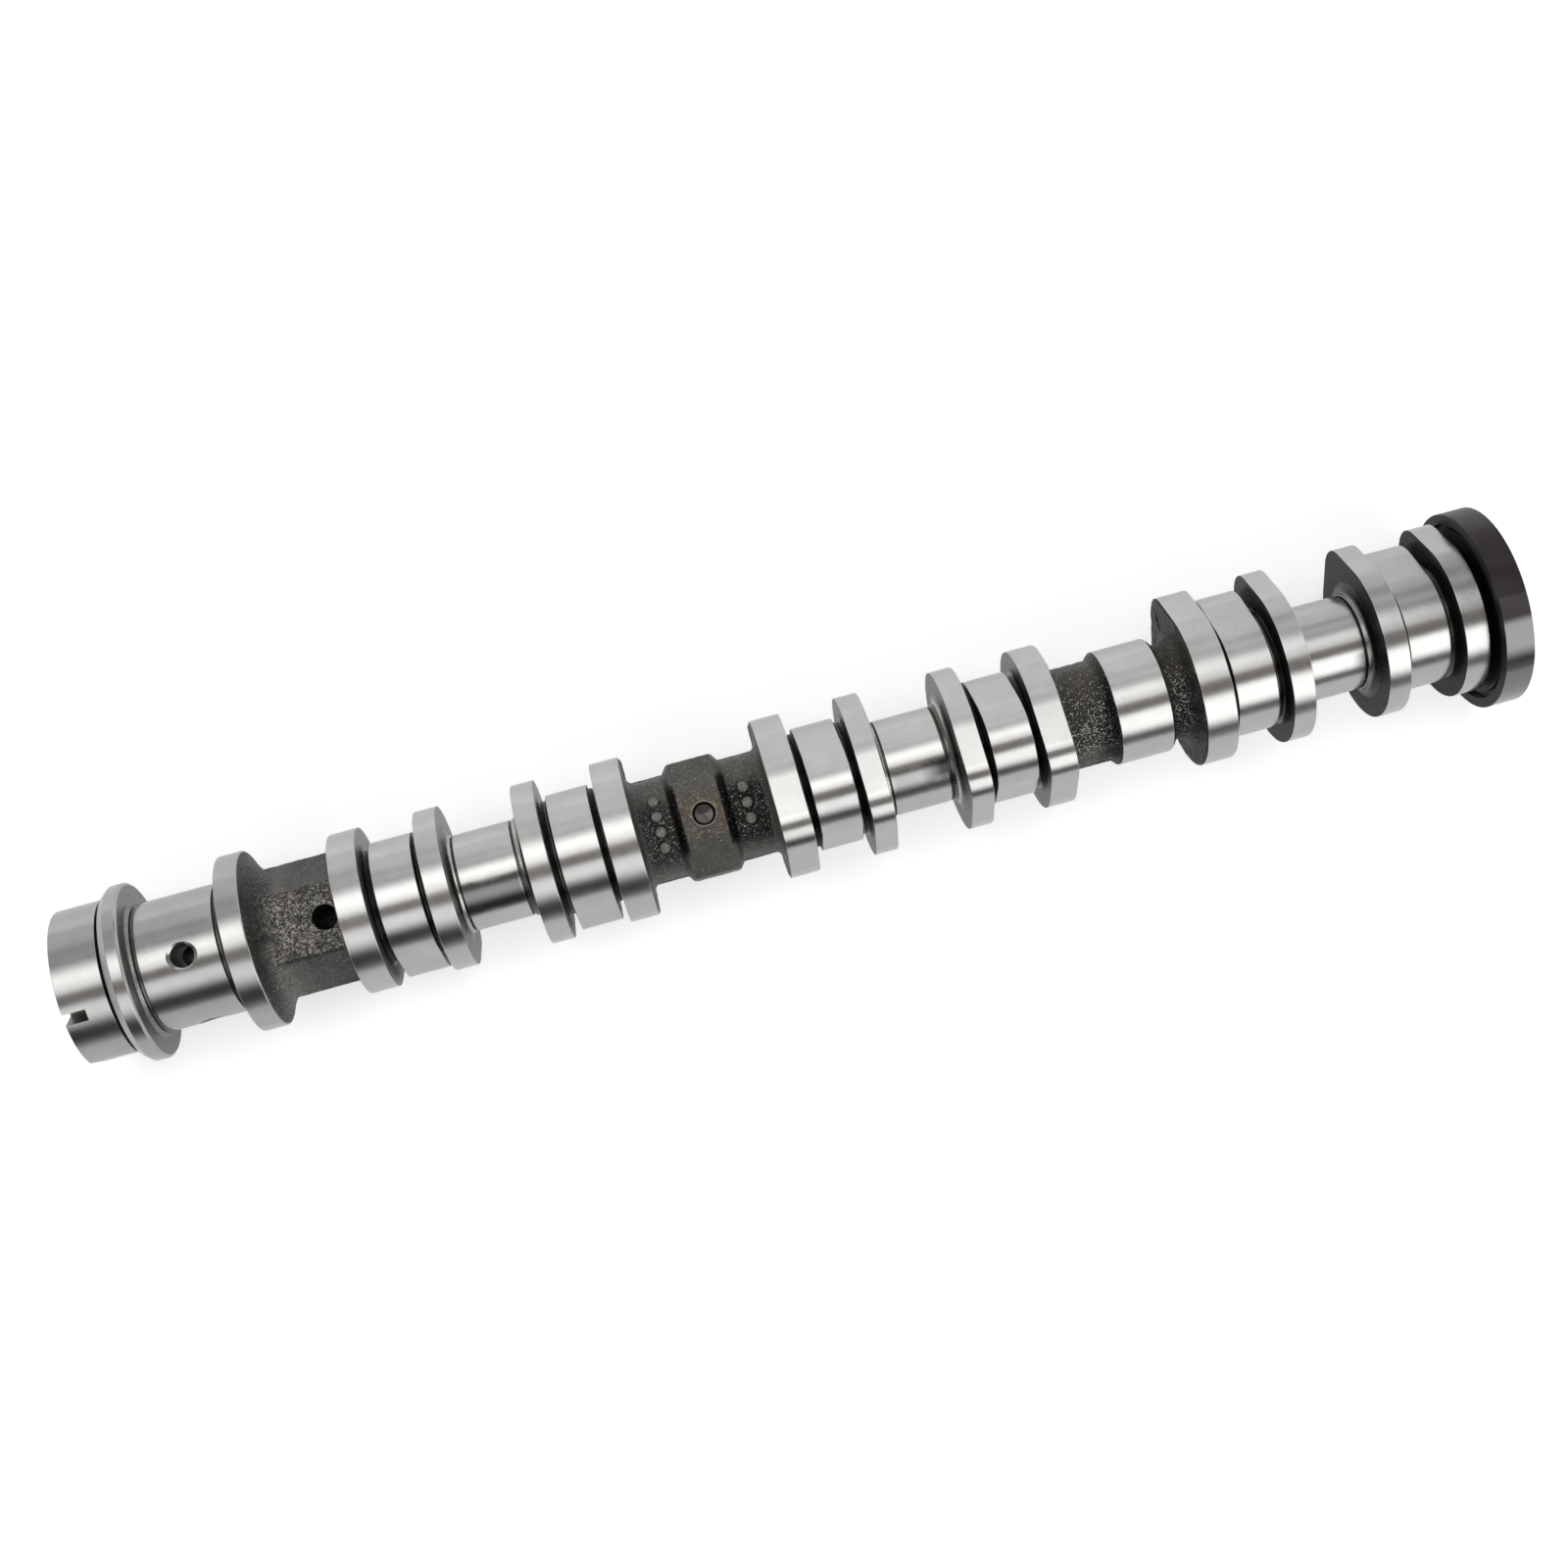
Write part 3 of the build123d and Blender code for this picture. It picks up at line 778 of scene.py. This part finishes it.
def makeHexagon(size):
    length = size["end"] - size["start"] + 1
    piece = prism("hexagon", 6, size["flats"], length, size["start"] + length / 2)
    roundEdges(piece, size["corner"], 50, 3)
    combine(piece, turned("coneTool", size["cone"], 128), "UNION")
    flare = hollowCurve(size["flareX"], size["flareRadius"], size["end"], size["flareTop"])
    combine(piece, turned("flareTool", flare + [(size["end"] + 1, size["flareTop"])], 128), "UNION")
    addCheek(piece, size["end"], -1, 0)
    castSkin(piece, castSkins["plain"])
    combine(piece, rod("ventTool", size["ventRadius"], 20, (size["ventX"], 0, 0), (0, 0, 1)))
    combine(piece, rod("galleryTool", size["galleryRadius"], 30, (38, 0, 0)))

    def inVent(centre, normal):
        aside = hypot(centre.x - size["ventX"], centre.y)
        return aside < size["ventRadius"] + 0.03 and centre.z > 2 and abs(normal.z) < 0.5

    dress(piece, castIron, (drilledIron, inVent))
    showAs(piece)


bandShaft = {"start": 140.07, "end": 172.93, "flats": 29.0, "corner": 0.6, "x": 156.2, "length": 10.3,
             "slope": 2.0, "spotX": 156.6, "spotRadius": 2.8, "spotWall": (12.8, 14.45),
             "pipRadius": 1.5, "pipTop": 1.3, "pips": {145.5: (-27, -10, 7, 24), 167.3: (-17, 0, 17)}}


def makeBand(size):  # an octagon with a slope at each end
    band = prism("band", 8, size["flats"], size["length"] + 2 * size["slope"], size["x"])
    roundEdges(band, size["corner"], 30, 3)
    half, foot = size["length"] / 2, roughShaft["radius"] - 0.6
    reach = half + size["slope"] + 0.5
    corners = size["flats"] / 2 / cos(pi / 8)
    envelope = [(size["x"] - reach, foot), (size["x"] - half, corners), (size["x"] + half, corners),
                (size["x"] + reach, foot)]
    combine(band, turned("envelope", envelope, 128), "INTERSECT")
    return band


def makeBandShaft(size):
    piece = turned("bandShaft", flareFrom(size["start"]) + flareTo(size["end"]), 128)
    combine(piece, makeBand(size), "UNION")
    addFlash(piece, size["start"] + 1, size["end"] - 1, roughShaft["radius"])
    mismatch = block("mismatch", (size["length"] - 1.5, 0.35, 0.5), (size["x"], -5.3, size["flats"] / 2))
    combine(piece, mismatch, "UNION")
    for x, angles in size["pips"].items():
        for angle in angles:
            out = Vector((0, -sin(radians(angle)), cos(radians(angle))))
            foot = Vector((x, 0, 0)) + out * (roughShaft["radius"] - 0.75)
            combine(piece, rod("pip", size["pipRadius"], 1.75, foot, out, 24, size["pipTop"]), "UNION")
    addCheek(piece, size["start"], 1, 0)
    addCheek(piece, size["end"], -1, 1)
    castSkin(piece, castSkins["plain"])
    low, high = size["spotWall"]
    combine(piece, rod("spot", 2.15, 1.9, (size["spotX"], 0, low), (0, 0, 1), 64, size["spotRadius"] + 0.1))
    combine(piece, rod("point", 2.15, 0.5, (size["spotX"], 0, low + 0.02), (0, 0, -1), 64, 0.05))

    def inSpot(centre):
        return hypot(centre.x - size["spotX"], centre.y) < size["spotRadius"] + 0.02 and centre.z > 10

    # Painted shade: the spot's walls take the dark face finish and its point the near-black gap finish.
    dress(piece, castIron,
          (darkFace, lambda centre, normal: inSpot(centre) and centre.z < high and abs(normal.z) < 0.6),
          (gapShadeIron, lambda centre, normal: inSpot(centre) and centre.z < low + 0.01))
    showAs(piece)


bossShaft = {"start": 245.79, "bossFlare": 257.41, "bossStart": 259.16, "bossEnd": 273.1, "bossRadius": 14.42,
             "chamfer": 0.9, "edge": 0.12, "end": 278.51, "endRadius": 12.2, "endFlare": 2.6, "endTop": 16.4}


def makeBossShaft(size):
    radius, flare, boss, top = roughShaft["radius"], size["bossFlare"], size["bossStart"], size["bossRadius"]
    rise = [(flare - 0.6, radius), (flare + 0.4, radius + 0.5), (boss - 0.3, top - 0.15),
            (boss + 0.6, top - 0.2), (boss + 1.0, top - 0.6), (size["bossEnd"] - 1, 12.0)]
    rear = hollowCurve(size["end"] - size["endFlare"], size["endRadius"], size["end"], size["endTop"]) \
        + [(size["end"] + 1, size["endTop"])]
    piece = turned("bossShaft", flareFrom(size["start"]) + rise + rear, 128)
    addFlash(piece, size["start"] + 1, flare - 0.5, radius)
    addCheek(piece, size["start"], 1, 1)
    addCheek(piece, size["end"], -1, 2)
    castSkin(piece, castSkins["coarse"])
    dress(piece, castIron)
    showAs(piece)


def makeGroundBoss(size):
    start, end, radius, chamfer = size["bossStart"], size["bossEnd"], size["bossRadius"], size["chamfer"]
    piece = turned("groundBoss", [(start, 11.5), (start, radius), (end - chamfer, radius),
                                  (end, radius - chamfer), (end, 11.5)], 224)
    roundEdges(piece, size["edge"])
    smoothTurned(piece)
    dress(piece, groundIron, (turnedFace, lambda centre, normal: abs(normal.x) > 0.9))
    showAs(piece)


makeHexagon(hexagonPart)
makeBandShaft(bandShaft)
makeBossShaft(bossShaft)
makeGroundBoss(bossShaft)
bpy.data.objects.remove(sidePattern)
print("cast parts made")


# End flange and timing ring.

endFlange = {"stations": [(348.5, 14.4), (351.1, 14.4), (351.7, 14.8), (352.2, 15.6), (352.9, 16.6),
                          (352.91, 21.1), (353.91, 21.1), (353.91, 22.4), (359.38, 22.4)],
             "edge": 0.15, "darkTo": 354.2}
timingRing = {"start": 352.31, "end": 359.38, "bore": 22.41, "radius": 24.9, "edge": 0.3}


def makeEndFlange(size):
    piece = turned("endFlange", size["stations"], 224)
    roundEdges(piece, size["edge"])
    smoothTurned(piece)
    # The end flange's front, in the gap behind the last lobe, takes the dark face finish as painted shade.
    dress(piece, groundIron, (darkFace, lambda centre, normal: centre.x < size["darkTo"]),
          (turnedFace, lambda centre, normal: normal.x > 0.9))
    showAs(piece)


def makeTimingRing(size):
    start, end, bore = size["start"], size["end"], size["bore"]
    piece = turned("timingRing", [(start, size["radius"]), (end, size["radius"])], 256)
    combine(piece, turned("boreTool", [(start - 2, bore), (end + 2, bore)], 256))
    roundEdges(piece, size["edge"], 50, 3)
    smoothTurned(piece, 12)
    dress(piece, ringCompound, (darkFace, lambda centre, normal: normal.x < -0.9))
    showAs(piece, "timing_ring")


makeEndFlange(endFlange)
makeTimingRing(timingRing)
print("end flange and timing ring made")


# Stage: floor, cards, soft boxes, world and camera. Here sizes and places are in metres. A glow changes over
# its surface with the lean, which is the angle from straight up in degrees, and along the shaft.

softBoxes = {
    "overheadBox": {
        "centre": (0.135, 0.215, 0.80), "size": (1.17, 0.61), "tilt": 0.0, "radiance": 2.40,
        "lean": [(-6.6, 0.0), (-5.8, 0.52), (-4.0, 0.62), (0.0, 0.72), (4.0, 0.82), (9.0, 0.95), (14.0, 1.0),
                 (18.0, 0.93), (21.0, 0.82), (24.0, 0.66), (28.0, 0.42), (31.0, 0.27), (33.0, 0.22)],
        "along": [(-0.45, 0.92), (-0.24, 0.95), (-0.15, 1.06), (-0.06, 0.96), (0.30, 0.97), (0.39, 0.88),
                  (0.45, 0.78), (0.55, 0.67), (0.60, 0.62), (0.65, 0.60), (0.672, 0.48), (0.685, 0.08),
                  (0.70, 0.0)]},
    "frontBox": {
        "centre": (0.32, -0.604, 0.525), "size": (1.60, 0.89), "tilt": 49.0, "radiance": 2.25,
        "top": (-20.0, -29.5),
        "shift": [(-0.30, 0.0), (0.10, 1.0), (0.22, 4.5), (0.40, 4.5), (0.50, 2.2), (0.58, 2.8), (0.62, 4.5),
                  (0.67, 5.5)],
        "nearX": 0.08, "farX": 0.50, "nearLevel": 0.62, "near": (-66.0, -41.0), "far": (-79.0, -60.0),
        "nearEnd": (-0.21, -0.25, 0.0, 0.15)},
}

# The cards glow and are seen in the metal only. Their places along the shaft are in mm.
cards = {
    "ceilingCard": {
        "size": (3.2, 1.98), "centre": (0.2, -0.45, 0.96), "tint": (1.0, 0.94, 0.90),
        "lean": [(-57, 0.05), (-30, 0.06), (-24, 0.17), (-18, 0.26), (-6, 0.30), (0, 0.12), (28.5, 0.12)]},
    "backCeiling": {
        "size": (3.2, 1.16), "centre": (0.2, 1.12, 0.96),
        "lean": [(28.6, 0.12), (33, 0.58), (37, 0.74), (42, 1.0), (46, 0.96), (51, 0.86), (56, 0.93),
                 (60.5, 1.0)],
        "along": [(-500, 0.60), (-270, 0.68), (-145, 0.82), (-30, 0.96), (236, 1.16), (470, 1.14),
                  (690, 0.98), (850, 0.70), (910, 0.46), (1050, 0.40)]},
    "backWall": {
        "size": (3.6, 1.02), "centre": (0.2, 1.70, 0.47), "turn": (pi / 2, 0, 0),
        "along": [(-700, 0.78), (-400, 0.86), (-100, 0.99), (300, 1.10), (700, 1.06), (900, 0.95),
                  (1030, 0.84), (1065, 0.40), (1200, 0.30)]},
    "frontCard": {
        "size": (3.2, 1.02), "centre": (0.2, -1.44, 0.47), "turn": (pi / 2, 0, 0),
        "lean": [(-91, 0.42), (-86, 0.24), (-79, 0.06), (-56, 0.05)]},
    "endCard": {"size": (0.80, 0.64), "centre": (1.12, 0.22, 0.81), "glow": 0.14},
}

# In the metal, the floor's glow is painted darker in front of the shaft and beyond its far end, as shade on
# it.
floorPaper = {
    "width": 6.0, "centre": (0.18, 0, -0.02344), "slope": 0.5, "paper": 0.80, "seenPaper": 0.88, "glow": 0.42,
    "across": [(-300, 0.25), (-80, 0.26), (-40, 0.28), (8, 0.38), (50, 0.41), (90, 0.52), (200, 0.85),
               (400, 0.93)],
    "along": [(335, 1.0), (352, 0.90), (375, 0.76), (420, 0.68), (460, 0.62)],
}

room = {"fill": (0.95, 0.97, 1.0, 1), "fillLevel": 0.45}

cameraPlace = {"lens": 46.711, "sensor": 36, "place": (0.15302, -0.0349, 0.49903),
               "turn": (4.91497, -1.56680, -15.43380)}

white = (1, 1, 1, 1)


def seenDirectly(finish):  # by the camera, in metal or through glass
    rays = [finish.put("ShaderNodeLightPath", out=name) for name in
            ("Is Camera Ray", "Is Glossy Ray", "Is Transmission Ray")]
    return (rays[0] + rays[1]).toOne(rays[2])


def overheadGlow(finish, box, x, lean):
    return finish.table(lean, box["lean"]) * finish.table(x, box["along"])


def frontGlow(finish, box, x, lean):  # fades downwards over a span that widens along the shaft
    reach = finish.ramp(x, box["nearX"], box["farX"])
    dark, bright = (near + reach * (far - near) for near, far in zip(box["near"], box["far"]))
    level = box["nearLevel"] + reach * (1 - box["nearLevel"]) + finish.ramp(x, *box["nearEnd"])
    top, topEnd = box["top"]
    return finish.ramp((lean - dark) / (bright - dark), 0.0, 1.0, smooth=True) \
        * finish.ramp(lean + finish.table(x, box["shift"]), topEnd, top, 1.0, 0.0, smooth=True) * level


def makeSoftBox(name, box, glow):
    light = bpy.data.lights.new(name, "AREA")
    light.shape = "RECTANGLE"
    light.size, light.size_y = box["size"]
    light.energy = box["radiance"] * pi * box["size"][0] * box["size"][1]
    finish = Finish(light, "ShaderNodeOutputLight")
    x, y, z = finish.parts(finish.put("ShaderNodeNewGeometry"))
    finish.end(finish.put("ShaderNodeEmission", {0: white, 1: glow(finish, box, x, finish.lean(y, z))}))
    lamp = bpy.data.objects.new(name, light)
    bpy.context.collection.objects.link(lamp)
    lamp.location = box["centre"]
    lamp.rotation_euler = (radians(box["tilt"]), 0, 0)
    lamp.visible_camera = False


def makeCard(name, size, centre, turn=(0, 0, 0), tint=(1, 1, 1), glow=1.0, lean=None, along=None):
    deselectAll()
    bpy.ops.mesh.primitive_plane_add(size=1, location=centre, rotation=turn)
    card = bpy.context.object
    card.scale = (*size, 1)
    settle(card, name)
    finish = newFinish(name + "Paint")
    _, x, y, z, _ = finish.place()
    if lean:
        glow = finish.table(finish.lean(y, z), lean) * glow
    if along:
        glow = finish.table(x, along) * glow
    card.data.materials.append(finish.end(finish.put("ShaderNodeEmission", {0: (*tint, 1), 1: glow})))
    card.visible_camera = False


def makeFloor(size):
    deselectAll()
    bpy.ops.mesh.primitive_plane_add(size=size["width"], location=size["centre"],
                                     rotation=(0, radians(size["slope"]), 0))
    floor = settle(bpy.context.object, "floor")
    finish = newFinish("floorPaper")
    paper, seenPaper = (finish.put("ShaderNodeBsdfDiffuse", {0: (shade, shade, shade, 1)}) for shade in
                        (size["paper"], size["seenPaper"]))
    _, x, y, _, _ = finish.place()
    level = finish.table(y, size["across"]) * finish.table(x, size["along"])
    inMetal = finish.put("ShaderNodeLightPath", out="Is Glossy Ray")
    glow = finish.put("ShaderNodeEmission", {0: white, 1: (1 - inMetal * (1 - level)) * size["glow"]})
    seen = finish.put("ShaderNodeAddShader", {0: seenPaper, 1: glow})
    floor.data.materials.append(finish.end(finish.put("ShaderNodeMixShader",
                                                      {0: seenDirectly(finish), 1: paper, 2: seen})))


def makeWorld(size):
    world = bpy.data.worlds.new("studioWorld")
    bpy.context.scene.world = world
    finish = Finish(world, "ShaderNodeOutputWorld")
    fill = finish.put("ShaderNodeBackground", {0: size["fill"], 1: size["fillLevel"]})
    seen = finish.put("ShaderNodeBackground", {0: white, 1: 1.0})
    finish.end(finish.put("ShaderNodeMixShader", {0: seenDirectly(finish), 1: fill, 2: seen}))


def makeCamera(size):
    lensData = bpy.data.cameras.new("camera")
    lensData.lens = size["lens"]
    lensData.sensor_width = size["sensor"]
    lensData.clip_start = 0.01
    camera = bpy.data.objects.new("camera", lensData)
    bpy.context.collection.objects.link(camera)
    camera.location = size["place"]
    camera.rotation_euler = [radians(angle) for angle in size["turn"]]
    bpy.context.scene.camera = camera


makeFloor(floorPaper)
for name, card in cards.items():
    makeCard(name, **card)
makeSoftBox("overheadBox", softBoxes["overheadBox"], overheadGlow)
makeSoftBox("frontBox", softBoxes["frontBox"], frontGlow)
makeWorld(room)
makeCamera(cameraPlace)
bpy.context.scene.view_settings.view_transform = "Standard"
print("stage, lights and camera made")
